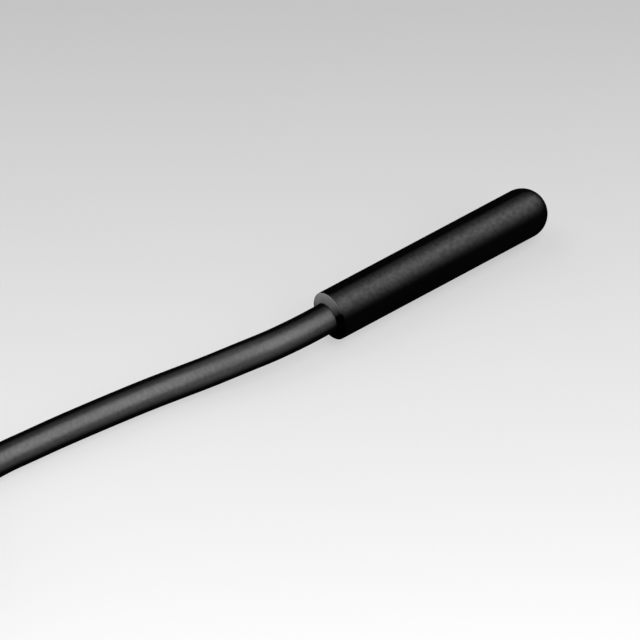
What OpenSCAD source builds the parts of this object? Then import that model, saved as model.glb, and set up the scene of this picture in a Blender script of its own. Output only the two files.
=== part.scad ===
// Thermistor probe: a round moulded bulb on the end of a two-core cable.
// The bulb lies along X with its rounded tip towards +X, and touches the surface at Z = 0.
// The cable leaves the blunt end, comes down to the surface and runs on to a tied hank.

/* [Bulb] */
// Outside diameter of the moulded bulb
bulb_d = 6; // [5.6:0.1:8]
// Length of the bulb from its cable end to its rounded tip
bulb_length = 32.5; // [30:0.5:45]
// Slope of the blunt cable end, which rises from its rim to the cable
crown_angle = 22; // [10:1:35]
// Radius of the small edge round the blunt end
rim_edge = 0.12; // [0.1:0.02:0.4]
// Moulding left between the sensing bead and the tip
tip_wall = 1.6; // [1.2:0.1:2.4]

/* [Cable] */
// Outside diameter of the cable's jacket
cable_d = 3.7; // [3.4:0.1:4.4]
// Length of jacket held inside the bulb
jacket_grip = 11; // [8:0.5:11.5]
// Diameter over the insulation of one core
core_d = 1.2; // [1:0.05:1.3]
// Distance between the middles of the two cores
core_pitch = 1.5; // [1.4:0.05:1.6]
// Diameter of a core's bundle of copper strands
conductor_d = 0.6; // [0.4:0.05:0.7]

/* [Splices] */
// Core left past the end of the jacket, up to the nearer splice
short_core = 2; // [1.6:0.1:2.4]
// Distance between the two splices along the bulb
stagger = 5.5; // [5:0.1:6]
// Diameter of a splice ferrule over its round ends
crimp_d = 1.1; // [1:0.05:1.15]
// Length of a splice ferrule
crimp_length = 3; // [2.4:0.1:3.4]
// Length of the round collar at each end of a ferrule
crimp_collar = 0.5; // [0.3:0.05:0.8]
// How far the pressed hexagon is sunk below the collars
crimp_depth = 0.03; // [0.02:0.01:0.1]
// Diameter of the shrunk sleeve over a splice
splice_sleeve_d = 1.5; // [1.4:0.05:1.55]
// How far the shrunk sleeve laps over what lies at each end of the ferrule
sleeve_lap = 1; // [0.6:0.1:1.4]

/* [Sensing element] */
// Diameter of the coated bead
bead_d = 2.4; // [2.3:0.1:3]
// Length of the coated bead
bead_length = 5; // [4.4:0.1:5.4]
// Length of the ceramic chip along the bulb
chip_length = 1.2; // [0.8:0.1:1.6]
// Height of the ceramic chip across the leads
chip_height = 1.2; // [0.8:0.1:1.4]
// Coating in front of the chip
chip_cover = 0.9; // [0.8:0.1:1.2]
// Diameter of a bead lead
lead_d = 0.3; // [0.2:0.05:0.35]
// Depth of the soldered flat that seats each lead on the chip
lead_seat = 0.02; // [0.01:0.01:0.05]
// Diameter over the sleeve on a bead lead
lead_sleeve_d = 0.7; // [0.5:0.05:0.75]
// Wall left on the neck of the splice sleeve, round the lead sleeve
neck_wall = 0.15; // [0.1:0.05:0.25]
// How far a lead sleeve runs into the bead's coating, past the bead's rounded end
sleeve_seat = 0.3; // [0.1:0.1:0.6]

/* [Hank] */
// Bend radius of the innermost turn at the two ends of the hank
fold_r = 11.5; // [10.5:0.5:12]
// Distance from the middle of the hank to the middle of each end loop
loop_reach = 25; // [24.5:0.5:40]
// Straight length of the innermost turn between an end loop and its bend into the waist
waist_run = 6.8; // [5:0.2:9]
// Straight length under and beside the tie
waist_straight = 6; // [5:0.5:7]
// Turns that lie beside each other
lanes = 2; // [2:1:3]
// Turns that lie on each other
layers = 4; // [3:1:5]

/* [Tie] */
// Width of the tie's band
band_w = 2.5; // [2:0.1:3.2]
// Thickness of the tie's band
band_t = 1.1; // [0.8:0.1:1.4]
// Width of the tie's head along the cable
head_w = 4.4; // [4:0.1:5]
// Length of the tie's head along the band
head_length = 4.6; // [4:0.1:5.5]
// Height of the tie's head off the band
head_h = 3.2; // [2.6:0.1:4]
// Height of the head's middle above the surface
head_z = 8.5; // [6:0.1:10]

/* [Stripped end] */
// Length of jacketed cable past the tie
tail_jacket = 14; // [11:0.5:18]
// Length of the two cores past the end of the jacket
strip_length = 40; // [30:1:45]
// Length of the tinned wire at the end of each core
tinned_length = 6; // [4:0.5:8]

/* [Hidden] */
$fn = 64;

// Side of the cable's middle on which each core, splice and lead lies
side_a = 1;
side_b = -1;

// Colours of the pieces
mould_colour = "#1b1b1c";
jacket_colour = "#242425";
core_a_colour = "#e9e6dc";
core_b_colour = "#3a3a3c";
copper_colour = "#b5724a";
tin_colour = "#c9cacc";
sleeve_colour = "#4b4f56";
film_colour = "#b9892f";
ceramic_colour = "#6e6a64";
coating_colour = "#30261f";
tie_colour = "#e6e4da";

// The bulb's cable end, the height of its middle, and places along it from that end
entry_x = -bulb_length / 2;
bulb_r = bulb_d / 2;
axis_z = bulb_r;
cable_r = cable_d / 2;
crown_rise = (bulb_r - cable_r - rim_edge * (1 - sin(crown_angle))) * tan(crown_angle);
rim_place = crown_rise + rim_edge * cos(crown_angle);
splice_a = jacket_grip + short_core;
splice_b = splice_a + stagger;
bead_front = bulb_length - tip_wall;
bead_back = bead_front - bead_length;
sleeve_end = bead_back + bead_d / 2 + sleeve_seat;
chip_front = bead_front - chip_cover;
chip_width = core_pitch - lead_d + 2 * lead_seat;
neck_d = lead_sleeve_d + 2 * neck_wall;

// The free cable's route, as [distance back from the bulb, distance across, height share].
// A share of 1 is the height of the bulb's middle, and 0 lies on the surface.
route = [
    [0, 0, 1],
    [4, 0.01, 1],
    [8, 0.29, 0.95],
    [12, 1.06, 0.7],
    [16, 2.01, 0.3],
    [20, 2.92, 0.05],
    [24, 3.58, 0],
    [28, 4.07, 0],
    [32, 4.51, 0],
    [36, 4.9, 0],
    [40, 5.2, 0],
    [43.5, 5.44, 0],
    [45.9, 5.4, 0],
    [47.8, 5.1, 0],
    [49.4, 4.7, 0],
    [50.6, 4.25, 0],
    [51.8, 3.75, 0],
];
// The cable meets the hank along this direction, 5 across for 12 along
meet_angle = atan2(5, 12);
tube_sides = 8;
ring_points = [0:2:len(route) - 1];

// The hank: its outer lane, its outline, and the bend that joins its end loops to the waist
outer_lane = lanes - 1;
lane_reach = (lanes - 0.5) * cable_d;
loop_r = fold_r + lane_reach;
waist_half = waist_straight / 2;
centre_run = loop_reach - waist_half;
waist_bend = (centre_run ^ 2 + cable_r ^ 2 - fold_r ^ 2 - waist_run ^ 2) / (2 * fold_r - cable_d);
waist_y = waist_bend + cable_r;
lean = asin((fold_r + waist_bend) / norm([centre_run, waist_y])) - atan2(waist_y, centre_run);

// How far the hank's straight sides run into its round ones where they meet
lap = 0.03;

// The straight lead-in lies along the outer lane's side until it is clear of the end loop
lead_clearance = 0.5;
lead_in = sqrt(loop_r ^ 2 - (loop_r - cable_d) ^ 2) + lead_clearance;
route_end = route[len(route) - 1];
meet_x = entry_x - route_end.x - lead_in * cos(meet_angle);
meet_y = route_end.y - lead_in * sin(meet_angle);
outer_fold = fold_r + outer_lane * cable_d;
hank_x = meet_x - outer_fold * sin(meet_angle) - loop_reach;
hank_y = meet_y + outer_fold * cos(meet_angle);

// Heights in the hank: the step round the top layer, and the lift over the band at the waist
step_z = (layers - 1) * cable_d;
hank_h = layers * cable_d;
settle_run = 10;
core_drop_run = 8;
tail_step = 7;
core_step = 2.5;

// A rod along the bulb between two places measured from its cable end
module rod(diameter, from, to, side = 0) {
    translate([entry_x + from, side * core_pitch / 2, axis_z])
        rotate([0, 90, 0])
            cylinder(h = to - from, d = diameter);
}

// Outer form of the bulb, turned about its middle: blunt end, small edge, dome
module bulb_form() {
    edge_r = bulb_r - rim_edge;
    dome_place = bulb_length - bulb_r;
    translate([entry_x, 0, axis_z])
        rotate([0, 90, 0])
            rotate_extrude() {
                polygon([
                    [0, 0],
                    [cable_r, 0],
                    [edge_r + rim_edge * sin(crown_angle), crown_rise],
                    [edge_r, rim_place],
                    [bulb_r, rim_place],
                    [bulb_r, dome_place],
                    [0, dome_place],
                ]);
                translate([edge_r, rim_place])
                    circle(r = rim_edge);
                translate([0, dome_place])
                    intersection() {
                        circle(r = bulb_r);
                        square(bulb_r);
                    }
            }
}

// Outer form of the bead: a drop with two round ends
module bead_form() {
    rod(bead_d, bead_back + bead_d / 2, bead_front - bead_d / 2);
    for (x = [bead_back + bead_d / 2, bead_front - bead_d / 2])
        translate([entry_x + x, 0, axis_z])
            sphere(d = bead_d);
}

// Block of the ceramic chip, which the leads are soldered to
module chip_form() {
    translate([entry_x + chip_front - chip_length, -chip_width / 2, axis_z - chip_height / 2])
        cube([chip_length, chip_width, chip_height]);
}

// Outer form of a ferrule: two round collars and a pressed hexagon between them
module crimp_form(side, start) {
    rod(crimp_d, start, start + crimp_collar, side);
    rod(crimp_d, start + crimp_length - crimp_collar, start + crimp_length, side);
    translate([entry_x + start, side * core_pitch / 2, axis_z])
        rotate([0, 90, 0])
            cylinder(h = crimp_length, d = crimp_d - 2 * crimp_depth, $fn = 6);
}

// Outer form of a shrunk sleeve, with its neck drawn down on the lead side
module splice_sleeve_form(side, start) {
    rod(splice_sleeve_d, start - sleeve_lap, start + crimp_length, side);
    translate([entry_x + start + crimp_length, side * core_pitch / 2, axis_z])
        rotate([0, 90, 0])
            cylinder(h = sleeve_lap, d1 = splice_sleeve_d, d2 = neck_d);
}

// The moulded bulb, closed round everything that it holds
module overmould() {
    color(mould_colour)
        difference() {
            bulb_form();
            rod(cable_d, 0, jacket_grip);
            rod(core_d, jacket_grip, splice_a, side_a);
            rod(core_d, jacket_grip, splice_b, side_b);
            rod(lead_sleeve_d, splice_a + crimp_length, sleeve_end, side_a);
            rod(lead_sleeve_d, splice_b + crimp_length, sleeve_end, side_b);
            splice_sleeve_form(side_a, splice_a);
            splice_sleeve_form(side_b, splice_b);
            bead_form();
        }
}

// The end of the cable's jacket inside the bulb, with the two cores through it
module jacket_end() {
    color(jacket_colour)
        difference() {
            rod(cable_d, 0, jacket_grip);
            for (side = [side_a, side_b])
                rod(core_d, 0, jacket_grip, side);
        }
}

// Insulation of one core, up to its splice
module core_insulation(side, splice, shade) {
    color(shade)
        difference() {
            rod(core_d, 0, splice, side);
            rod(conductor_d, 0, splice, side);
        }
}

// Copper strands of one core, up to the middle of the ferrule
module conductor(side, splice) {
    color(copper_colour)
        rod(conductor_d, 0, splice + crimp_length / 2, side);
}

// Pressed ferrule that joins a core to a bead lead
module splice_crimp(side, splice) {
    middle = splice + crimp_length / 2;
    color(tin_colour)
        difference() {
            crimp_form(side, splice);
            rod(conductor_d, splice, middle, side);
            rod(lead_d, middle, splice + crimp_length, side);
        }
}

// Shrunk sleeve over a splice, lapping onto the core and the lead sleeve
module splice_sleeve(side, splice) {
    color(sleeve_colour)
        difference() {
            splice_sleeve_form(side, splice);
            rod(core_d, splice - sleeve_lap, splice, side);
            crimp_form(side, splice);
            rod(lead_sleeve_d, splice + crimp_length, splice + crimp_length + sleeve_lap, side);
        }
}

// Sleeve on a bead lead, from the ferrule into the bead's coating
module lead_sleeve(side, splice) {
    color(film_colour)
        difference() {
            rod(lead_sleeve_d, splice + crimp_length, sleeve_end, side);
            rod(lead_d, splice + crimp_length, sleeve_end, side);
        }
}

// Bead lead from the ferrule to the far edge of the chip, flattened where it is soldered
module bead_lead(side, splice) {
    color(tin_colour)
        difference() {
            rod(lead_d, splice + crimp_length / 2, chip_front, side);
            chip_form();
        }
}

module thermistor_chip() {
    color(ceramic_colour) chip_form();
}

// Coating of the bead, round the chip, the leads and the ends of the lead sleeves
module bead_coating() {
    color(coating_colour)
        difference() {
            bead_form();
            chip_form();
            for (side = [side_a, side_b]) {
                rod(lead_d, sleeve_end, chip_front, side);
                rod(lead_sleeve_d, bead_back, sleeve_end, side);
            }
        }
}

// Height of the cable's middle for a share of the drop from the bulb to the surface
function route_z(share) = cable_r + share * (axis_z - cable_r);
function route_point(i) = [entry_x - route[i].x, route[i].y, route_z(route[i].z)];

// Direction of the route at a point: straight out of the bulb, and straight into the hank
function route_heading(i) =
    i == 0 ? 180
    : i == len(route) - 1 ? 180 + meet_angle
    : let (step = route_point(i + 1) - route_point(i - 1)) atan2(step.y, step.x);

// One ring of a tube, upright and square to the heading, with a flat facet underneath
function tube_ring(point, heading, diameter) =
    let (reach = diameter / 2 / cos(180 / tube_sides))
    [for (k = [0:tube_sides - 1])
        let (turn = (k + 0.5) * 360 / tube_sides)
        point + reach * [-sin(heading) * cos(turn), cos(heading) * cos(turn), sin(turn)]];

// A tube through points, each with its heading
module swept_tube(points, headings, diameter) {
    last = len(points) - 1;
    rings = [for (i = [0:last]) each tube_ring(points[i], headings[i], diameter)];
    walls = [
        for (i = [0:last - 1], k = [0:tube_sides - 1])
            let (a = i * tube_sides + k, b = i * tube_sides + (k + 1) % tube_sides)
            [a, a + tube_sides, b + tube_sides, b]
    ];
    start_cap = [for (k = [0:tube_sides - 1]) k];
    end_cap = [for (k = [tube_sides - 1:-1:0]) last * tube_sides + k];
    polyhedron(points = rings, faces = concat([start_cap], walls, [end_cap]));
}

// The free cable between the bulb and the hank
module cable_tube() {
    color(jacket_colour)
        swept_tube(
            [for (i = ring_points) route_point(i)],
            [for (i = ring_points) route_heading(i)],
            cable_d
        );
}

// Outline of the hank from above, drawn in by a distance all round
module hank_outline(inset = 0) {
    end_r = loop_r - inset;
    bend_r = waist_bend - lane_reach + inset;
    end_touch = [loop_reach - (end_r - lap) * sin(lean), (end_r - lap) * cos(lean)];
    bend_touch = [waist_half + (bend_r - lap) * sin(lean), waist_y - (bend_r - lap) * cos(lean)];
    difference() {
        union() {
            for (end = [-1, 1])
                translate([end * loop_reach, 0])
                    circle(r = end_r);
            polygon([
                [-end_touch.x, -end_touch.y],
                [-bend_touch.x, -bend_touch.y],
                [bend_touch.x, -bend_touch.y],
                [end_touch.x, -end_touch.y],
                end_touch,
                bend_touch,
                [-bend_touch.x, bend_touch.y],
                [-end_touch.x, end_touch.y],
            ]);
        }
        for (end = [-1, 1], way = [-1, 1])
            translate([end * waist_half, way * waist_y])
                circle(r = bend_r);
        for (way = [-1, 1])
            translate([-waist_half, way * waist_y - bend_r])
                square([waist_straight, 2 * bend_r]);
    }
}

// Section through the waist: turns packed side by side, lifted by the band beneath them
module waist_section(grow = 0) {
    across = lane_reach - cable_r;
    hull()
        for (y = [-across, across], z = [cable_r, hank_h - cable_r])
            translate([y, band_t + z])
                circle(r = cable_r + grow);
}

// A stretch along the cable with the waist's section, centred on the tie
module waist_block(length, grow = 0) {
    translate([-length / 2, 0, 0])
        rotate([90, 0, 90])
            linear_extrude(length)
                waist_section(grow);
}

module waist_gap() {
    square([waist_straight, 2 * waist_y], center = true);
}

// The hank as one solid: full layers, the top layer with its step, waist and lead-in
module cable_hank() {
    color(jacket_colour)
        translate([hank_x, hank_y, 0]) {
            linear_extrude(step_z)
                difference() {
                    hank_outline();
                    waist_gap();
                }
            translate([0, 0, step_z])
                linear_extrude(cable_d)
                    difference() {
                        union() {
                            hank_outline(cable_d);
                            intersection() {
                                hank_outline();
                                translate([0, -waist_y])
                                    square([loop_reach + loop_r, 2 * waist_y]);
                            }
                        }
                        waist_gap();
                    }
            waist_block(waist_straight);
            translate([loop_reach, 0, 0])
                rotate([0, 0, meet_angle])
                    translate([0, lap - loop_r, 0])
                        cube([lead_in, cable_d, cable_d]);
        }
}

// The tie: its band round the waist, its head on one side and its end cut off in the head
module hank_tie() {
    slot_w = band_w + 0.5;
    slot_h = band_t + 0.5;
    slot_depth = 0.8;
    side_y = -lane_reach - band_t;
    color(tie_colour)
        translate([hank_x, hank_y, 0]) {
            difference() {
                waist_block(band_w, band_t);
                waist_block(waist_straight);
            }
            difference() {
                translate([-head_w / 2, side_y - head_h, head_z - head_length / 2])
                    cube([head_w, head_h, head_length]);
                translate([-slot_w / 2, side_y - head_h, head_z - slot_h / 2])
                    cube([slot_w, slot_depth, slot_h]);
            }
            translate([-band_w / 2, side_y - head_h, head_z - band_t / 2])
                cube([band_w, slot_depth, band_t]);
        }
}

// How far round the waist bend or the end loop the outer lane has turned after a run
outer_bend = waist_bend - outer_lane * cable_d;
bend_run = outer_bend * lean * PI / 180;
function bend_turn(run) = min(run / outer_bend * 180 / PI, lean);
function loop_turn(run) = max(0, run - bend_run - waist_run) / outer_fold * 180 / PI;
function straight_run(run) = min(max(0, run - bend_run), waist_run);

// Direction of the outer lane, and its place with a shift across it, after a run from the waist
function lane_heading(run) = 180 + bend_turn(run) - loop_turn(run);
function lane_place(run, shift = 0) =
    run > bend_run + waist_run
    ? let (turn = lean - 90 - loop_turn(run), r = outer_fold + shift)
        [-loop_reach + r * cos(turn), r * sin(turn)]
    : let (turn = bend_turn(run), r = outer_bend - shift, s = straight_run(run))
        [-waist_half - r * sin(turn) - s * cos(turn), r * cos(turn) - waist_y - s * sin(turn)];

// A share that eases from 0 to 1 over a run
function eased(run, over) = let (t = min(1, max(0, run / over))) t * t * (3 - 2 * t);
function tail_z(run) = step_z + cable_r + band_t * (1 - eased(run, settle_run));
function core_z(run) =
    step_z + core_d / 2 + (cable_r - core_d / 2) * (1 - eased(run - tail_jacket, core_drop_run));
function hank_point(flat, z) = [hank_x + flat.x, hank_y + flat.y, z];

// Places along a run, spaced evenly and no wider than a step
function spaced(from, to, step) =
    let (count = ceil((to - from) / step)) [for (i = [0:count]) from + (to - from) * i / count];

// The cable's last stretch of jacket, on the step round the top layer
module cable_tail() {
    runs = spaced(0, tail_jacket, tail_step);
    color(jacket_colour)
        swept_tube(
            [for (run = runs) hank_point(lane_place(run), tail_z(run))],
            [for (run = runs) lane_heading(run)],
            cable_d
        );
}

// One insulated core past the end of the jacket
core_end = tail_jacket + strip_length - tinned_length;
module tail_core(side, shade) {
    runs = spaced(tail_jacket, core_end, core_step);
    color(shade)
        swept_tube(
            [for (run = runs) hank_point(lane_place(run, side * core_pitch / 2), core_z(run))],
            [for (run = runs) lane_heading(run)],
            core_d
        );
}

// The tinned wire at the end of a core, straight on from it
module tinned_end(side) {
    color(tin_colour)
        translate(hank_point(lane_place(core_end, side * core_pitch / 2), core_z(core_end)))
            rotate([0, 90, lane_heading(core_end)])
                cylinder(h = tinned_length, d = conductor_d);
}

overmould();
jacket_end();
core_insulation(side_a, splice_a, core_a_colour);  // core_insulation_a
core_insulation(side_b, splice_b, core_b_colour);  // core_insulation_b
conductor(side_a, splice_a);  // conductor_a
conductor(side_b, splice_b);  // conductor_b
splice_crimp(side_a, splice_a);  // splice_crimp_a
splice_crimp(side_b, splice_b);  // splice_crimp_b
splice_sleeve(side_a, splice_a);  // splice_sleeve_a
splice_sleeve(side_b, splice_b);  // splice_sleeve_b
lead_sleeve(side_a, splice_a);  // lead_sleeve_a
lead_sleeve(side_b, splice_b);  // lead_sleeve_b
bead_lead(side_a, splice_a);  // bead_lead_a
bead_lead(side_b, splice_b);  // bead_lead_b
thermistor_chip();
bead_coating();
cable_tube();
cable_hank();
hank_tie();
cable_tail();
tail_core(side_a, core_a_colour);  // tail_core_a
tail_core(side_b, core_b_colour);  // tail_core_b
tinned_end(side_a);  // tinned_end_a
tinned_end(side_b);  // tinned_end_b
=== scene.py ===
import itertools
import math

import bmesh
import bpy
import numpy as np
from mathutils import Matrix, Vector


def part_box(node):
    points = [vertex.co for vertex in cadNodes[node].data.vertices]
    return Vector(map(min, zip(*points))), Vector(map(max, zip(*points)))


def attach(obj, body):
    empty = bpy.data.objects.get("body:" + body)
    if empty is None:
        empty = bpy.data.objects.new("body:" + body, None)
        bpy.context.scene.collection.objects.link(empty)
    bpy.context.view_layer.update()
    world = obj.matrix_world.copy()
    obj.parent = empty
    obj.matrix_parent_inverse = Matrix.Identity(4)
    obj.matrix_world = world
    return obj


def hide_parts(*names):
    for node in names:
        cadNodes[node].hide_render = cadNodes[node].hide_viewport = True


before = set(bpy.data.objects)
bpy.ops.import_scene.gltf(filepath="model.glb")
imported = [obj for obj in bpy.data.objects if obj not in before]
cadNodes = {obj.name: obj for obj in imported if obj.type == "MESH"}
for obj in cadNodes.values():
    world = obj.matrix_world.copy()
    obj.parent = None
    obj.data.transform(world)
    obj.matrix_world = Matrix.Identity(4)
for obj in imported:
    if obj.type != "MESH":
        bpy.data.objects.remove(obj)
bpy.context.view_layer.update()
print("frame: the packed solids are in")

# the bulb's sizes, in metres, come first: the camera and the cable take their places from them
bulb = {
    "radius": 0.003,
    "endSlope": math.radians(22),  # of the blunt end, from its rim up to the cable
    "rimEdge": 0.00012,  # radius of the small edge round the blunt end
    "faceOverEdge": 0.45,  # share of that edge that looks like the blunt end
    "mouthEdge": 0.00004,  # small bevel where the cable goes in
    "jacketGrip": 0.011,  # m of jacket held inside
    "sides": 128,
    "rowStep": 0.001,
    "rimSteps": 6,
    "domeSteps": 28,
}
bulbLow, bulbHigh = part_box("overmould")
bulbLength = bulbHigh.x - bulbLow.x
entryX = bulbLow.x  # where the cable goes in
axisZ = bulb["radius"]  # the bulb lies on the surface, so this is how high its middle is


def addObject(name, data):
    piece = bpy.data.objects.new(name, data)
    bpy.context.scene.collection.objects.link(piece)
    return piece


# camera
cameraSetup = {
    "lens": 1000.0,  # mm, long, so that near and far parts keep their size
    "sensor": 36.0,  # mm
    "viewWidth": 0.07449,  # m across the picture, at the bulb
    "turn": 39.109,  # degrees from the Y axis round towards the tip
    "tilt": 40.962,  # degrees down
    "rimBack": 0.00047,  # m from the cable's mouth to the place that the next two start from
    "right": -0.001147,  # m to the middle of the picture
    "up": -0.00044,
    "clipEnd": 20.0,
}


def addCamera(setup):
    turn, tilt = math.radians(setup["turn"]), math.radians(setup["tilt"])
    ahead = Vector((math.sin(turn), math.cos(turn), 0))
    right = Vector((math.cos(turn), -math.sin(turn), 0))
    look = ahead * math.cos(tilt) - Vector((0, 0, math.sin(tilt)))
    up = ahead * math.sin(tilt) + Vector((0, 0, math.cos(tilt)))
    rimMiddle = Vector((entryX + setup["rimBack"], 0, axisZ))
    target = rimMiddle + right * setup["right"] + up * setup["up"]
    camera = bpy.data.cameras.new("camera")
    camera.lens = setup["lens"]
    camera.sensor_width = setup["sensor"]
    camera.clip_end = setup["clipEnd"]
    holder = addObject("camera", camera)
    holder.location = target - look * (setup["viewWidth"] * setup["lens"] / setup["sensor"])
    holder.rotation_euler = (math.pi / 2 - tilt, 0, -turn)
    bpy.context.scene.camera = holder


addCamera(cameraSetup)
print("camera: placed")


# meshes
sharpAngle = math.radians(35)  # faces that meet at more than this keep a hard edge


def finishMesh(name, points, faces, uvs=None):
    # uvs holds one (u, v) for each corner of each face
    mesh = bpy.data.meshes.new(name)
    mesh.from_pydata([tuple(p) for p in points], [], faces)
    if uvs is not None:
        layer = mesh.uv_layers.new(name="UVMap")
        layer.data.foreach_set("uv", np.array(uvs, np.float32).ravel())
    mesh.shade_smooth()
    mesh.set_sharp_from_angle(angle=sharpAngle)
    return addObject(name, mesh)


def sweepTube(name, line, radius, sides, section=None):
    # rings square to the line, carried along it without twist; section gives a ring's own form
    line = np.array(line, float)
    ways = np.gradient(line, axis=0)
    ways /= np.linalg.norm(ways, axis=1)[:, None]
    along = np.concatenate([[0], np.cumsum(np.linalg.norm(np.diff(line, axis=0), axis=1))])
    down = np.array([0.0, 0.0, -1.0])
    points = []
    for i, (place, way) in enumerate(zip(line, ways)):
        down = down - way * (down @ way)
        down /= np.linalg.norm(down)
        side = np.cross(way, down)
        for k in range(sides):
            angle = 2 * math.pi * k / sides
            reach = radius if section is None else section(angle, along[i])
            points.append(place + reach * (math.cos(angle) * down + math.sin(angle) * side))
    # the UV map is in metres: round the tube, starting underneath, and along it
    faces, uvs = [], []
    girth = 2 * math.pi * radius
    for i in range(len(line) - 1):
        for k in range(sides):
            a, b = i * sides + k, i * sides + (k + 1) % sides
            faces.append((a, b, b + sides, a + sides))
            u0, u1 = girth * k / sides, girth * (k + 1) / sides
            uvs += [(u0, along[i]), (u1, along[i]), (u1, along[i + 1]), (u0, along[i + 1])]
    last = (len(line) - 1) * sides
    for cap in (range(sides - 1, -1, -1), range(last, last + sides)):
        faces.append(tuple(cap))
        uvs += [(0.0, 0.0)] * sides
    return finishMesh(name, points, faces, uvs)


def revolve(name, profile, sides):
    # profile is (distance along the bulb from its cable end, radius), starting and ending on the axis
    rings = profile[1:-1]
    points = [(entryX + profile[0][0], 0, axisZ)]
    for x, r in rings:
        for k in range(sides):
            angle = 2 * math.pi * k / sides
            points.append((entryX + x, r * math.sin(angle), axisZ - r * math.cos(angle)))
    points.append((entryX + profile[-1][0], 0, axisZ))
    tip = len(points) - 1
    faces = [(0, 1 + k, 1 + (k + 1) % sides) for k in range(sides)]
    for i in range(len(rings) - 1):
        for k in range(sides):
            a, b = 1 + i * sides + k, 1 + i * sides + (k + 1) % sides
            faces.append((a, a + sides, b + sides, b))
    last = 1 + (len(rings) - 1) * sides
    faces += [(tip, last + (k + 1) % sides, last + k) for k in range(sides)]
    return finishMesh(name, points, faces)


def arc(centreX, centreR, radius, fromAngle, toAngle, steps):
    # points of a profile's round stretch, angles in degrees from the axis direction
    found = []
    for i in range(steps + 1):
        angle = math.radians(fromAngle + (toAngle - fromAngle) * i / steps)
        found.append((centreX + radius * math.cos(angle), centreR + radius * math.sin(angle)))
    return found


# cable: its route from the bulb, then the hank of the length that is put away
cable = {
    "diameter": 0.0037,
    "suppliedLength": 1.5,  # m with its stripped end, of which the view shows less than 0.05
    "overlap": 0.0005,  # m that the drawn tube starts inside the bulb
    "freeStep": 0.0006,  # m between rings on the stretch from the bulb to the hank
    "joinRings": 12,  # rings where the two meet, with the last of that stretch and the hank's first
    "hankStep": 0.0012,
    "sides": 32,
    # (distance back from the bulb, distance across, height share), in metres.
    # A share of 1 is the height of the bulb's middle, and 0 lies on the surface.
    "route": [
        (0, 0, 1),
        (0.004, 1e-05, 1),
        (0.008, 0.00029, 0.95),
        (0.012, 0.00106, 0.7),
        (0.016, 0.00201, 0.3),
        (0.02, 0.00292, 0.05),
        (0.024, 0.00358, 0),
        (0.028, 0.00407, 0),
        (0.032, 0.00451, 0),
        (0.036, 0.0049, 0),
        (0.04, 0.0052, 0),
        (0.0435, 0.00544, 0),
        (0.0459, 0.0054, 0),
        (0.0478, 0.0051, 0),
        (0.0494, 0.0047, 0),
        (0.0506, 0.00425, 0),
        (0.0518, 0.00375, 0),
    ],
    "meetAngle": math.atan2(5, 12),  # direction in which it comes to the hank
}
hank = {
    "foldRadius": 0.0115,  # innermost turn, at the end loops
    "waistRun": 0.0068,  # straight run between an end loop and the bend into the waist
    "waistHalf": 0.003,  # half of the straight run through the waist
    "outerLane": 1,  # two lanes side by side, 0 and 1
    "changes": 7,  # moves to the other lane or up a layer, one a turn
    "changeRun": 0.03,  # m of cable that a move takes
    "changeBack": 0.01,  # m by which each move comes before a whole turn after the last one
    "bandThickness": 0.0011,  # the tie's band, which lifts the turns at the waist
    "settleRun": 0.009,  # m in which they come down again
    "tailJacket": 0.014,  # m of jacket past the waist
    "stripLength": 0.04,
    "tinnedLength": 0.006,
}


def eased(share):
    share = min(max(share, 0.0), 1.0)
    return share * share * (3 - 2 * share)


def smoothLine(points, startWay, endWay, step):
    # a smooth curve through points, leaving and ending in the two directions
    points = np.array(points, float)
    gaps = np.linalg.norm(np.diff(points, axis=0), axis=1)
    slopes = np.diff(points, axis=0) / gaps[:, None]
    ways = [np.array(startWay, float)]
    for i in range(1, len(points) - 1):
        before, after = gaps[i - 1], gaps[i]
        ways.append((slopes[i] * before + slopes[i - 1] * after) / (before + after))
    ways.append(np.array(endWay, float))
    found = []
    for i, gap in enumerate(gaps):
        count = max(2, math.ceil(gap / step))
        for t in np.arange(count) / count:
            t2, t3 = t * t, t * t * t
            found.append(
                (2 * t3 - 3 * t2 + 1) * points[i]
                + (t3 - 2 * t2 + t) * gap * ways[i]
                + (3 * t2 - 2 * t3) * points[i + 1]
                + (t3 - t2) * gap * ways[i + 1]
            )
    found.append(points[-1])
    return np.array(found)


hankLow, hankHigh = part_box("cable_hank")
hankX = (hankHigh.x + hankLow.x) / 2
hankY = (hankHigh.y + hankLow.y) / 2
cableRadius = cable["diameter"] / 2
laneStep = cable["diameter"]  # the turns lie against each other
loopReach = (hankHigh.x - hankLow.x) / 2 - hank["foldRadius"] - laneStep * (hank["outerLane"] + 0.5)

# the bend into the waist follows from the reach, the fold and the straight run between them
centreRun = loopReach - hank["waistHalf"]
waistBend = (
    centreRun**2 + laneStep**2 / 4 - hank["foldRadius"] ** 2 - hank["waistRun"] ** 2
) / (2 * hank["foldRadius"] - laneStep)
waistY = waistBend + laneStep / 2
lean = math.asin((hank["foldRadius"] + waistBend) / math.hypot(centreRun, waistY))
lean -= math.atan2(waistY, centreRun)
meetAngle = cable["meetAngle"]

# one turn of the innermost lane, from where the cable comes in: (length, curvature)
loopBend, inBend = -1 / hank["foldRadius"], 1 / waistBend
toWaist = [(hank["waistRun"], 0), (lean * waistBend, inBend), (2 * hank["waistHalf"], 0)]
fromWaist = [(lean * waistBend, inBend), (hank["waistRun"], 0)]
turnRuns = (
    [((lean + meetAngle) * hank["foldRadius"], loopBend)]
    + toWaist
    + fromWaist
    + [((math.pi + 2 * lean) * hank["foldRadius"], loopBend)]
    + toWaist
    + fromWaist
    + [((math.pi + lean - meetAngle) * hank["foldRadius"], loopBend)]
)
turnLength = sum(length for length, bend in turnRuns)
waistEnd = sum(length for length, bend in turnRuns[:4])
woundRun = hank["changes"] * turnLength + waistEnd  # up to the waist that the tail comes out of


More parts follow.
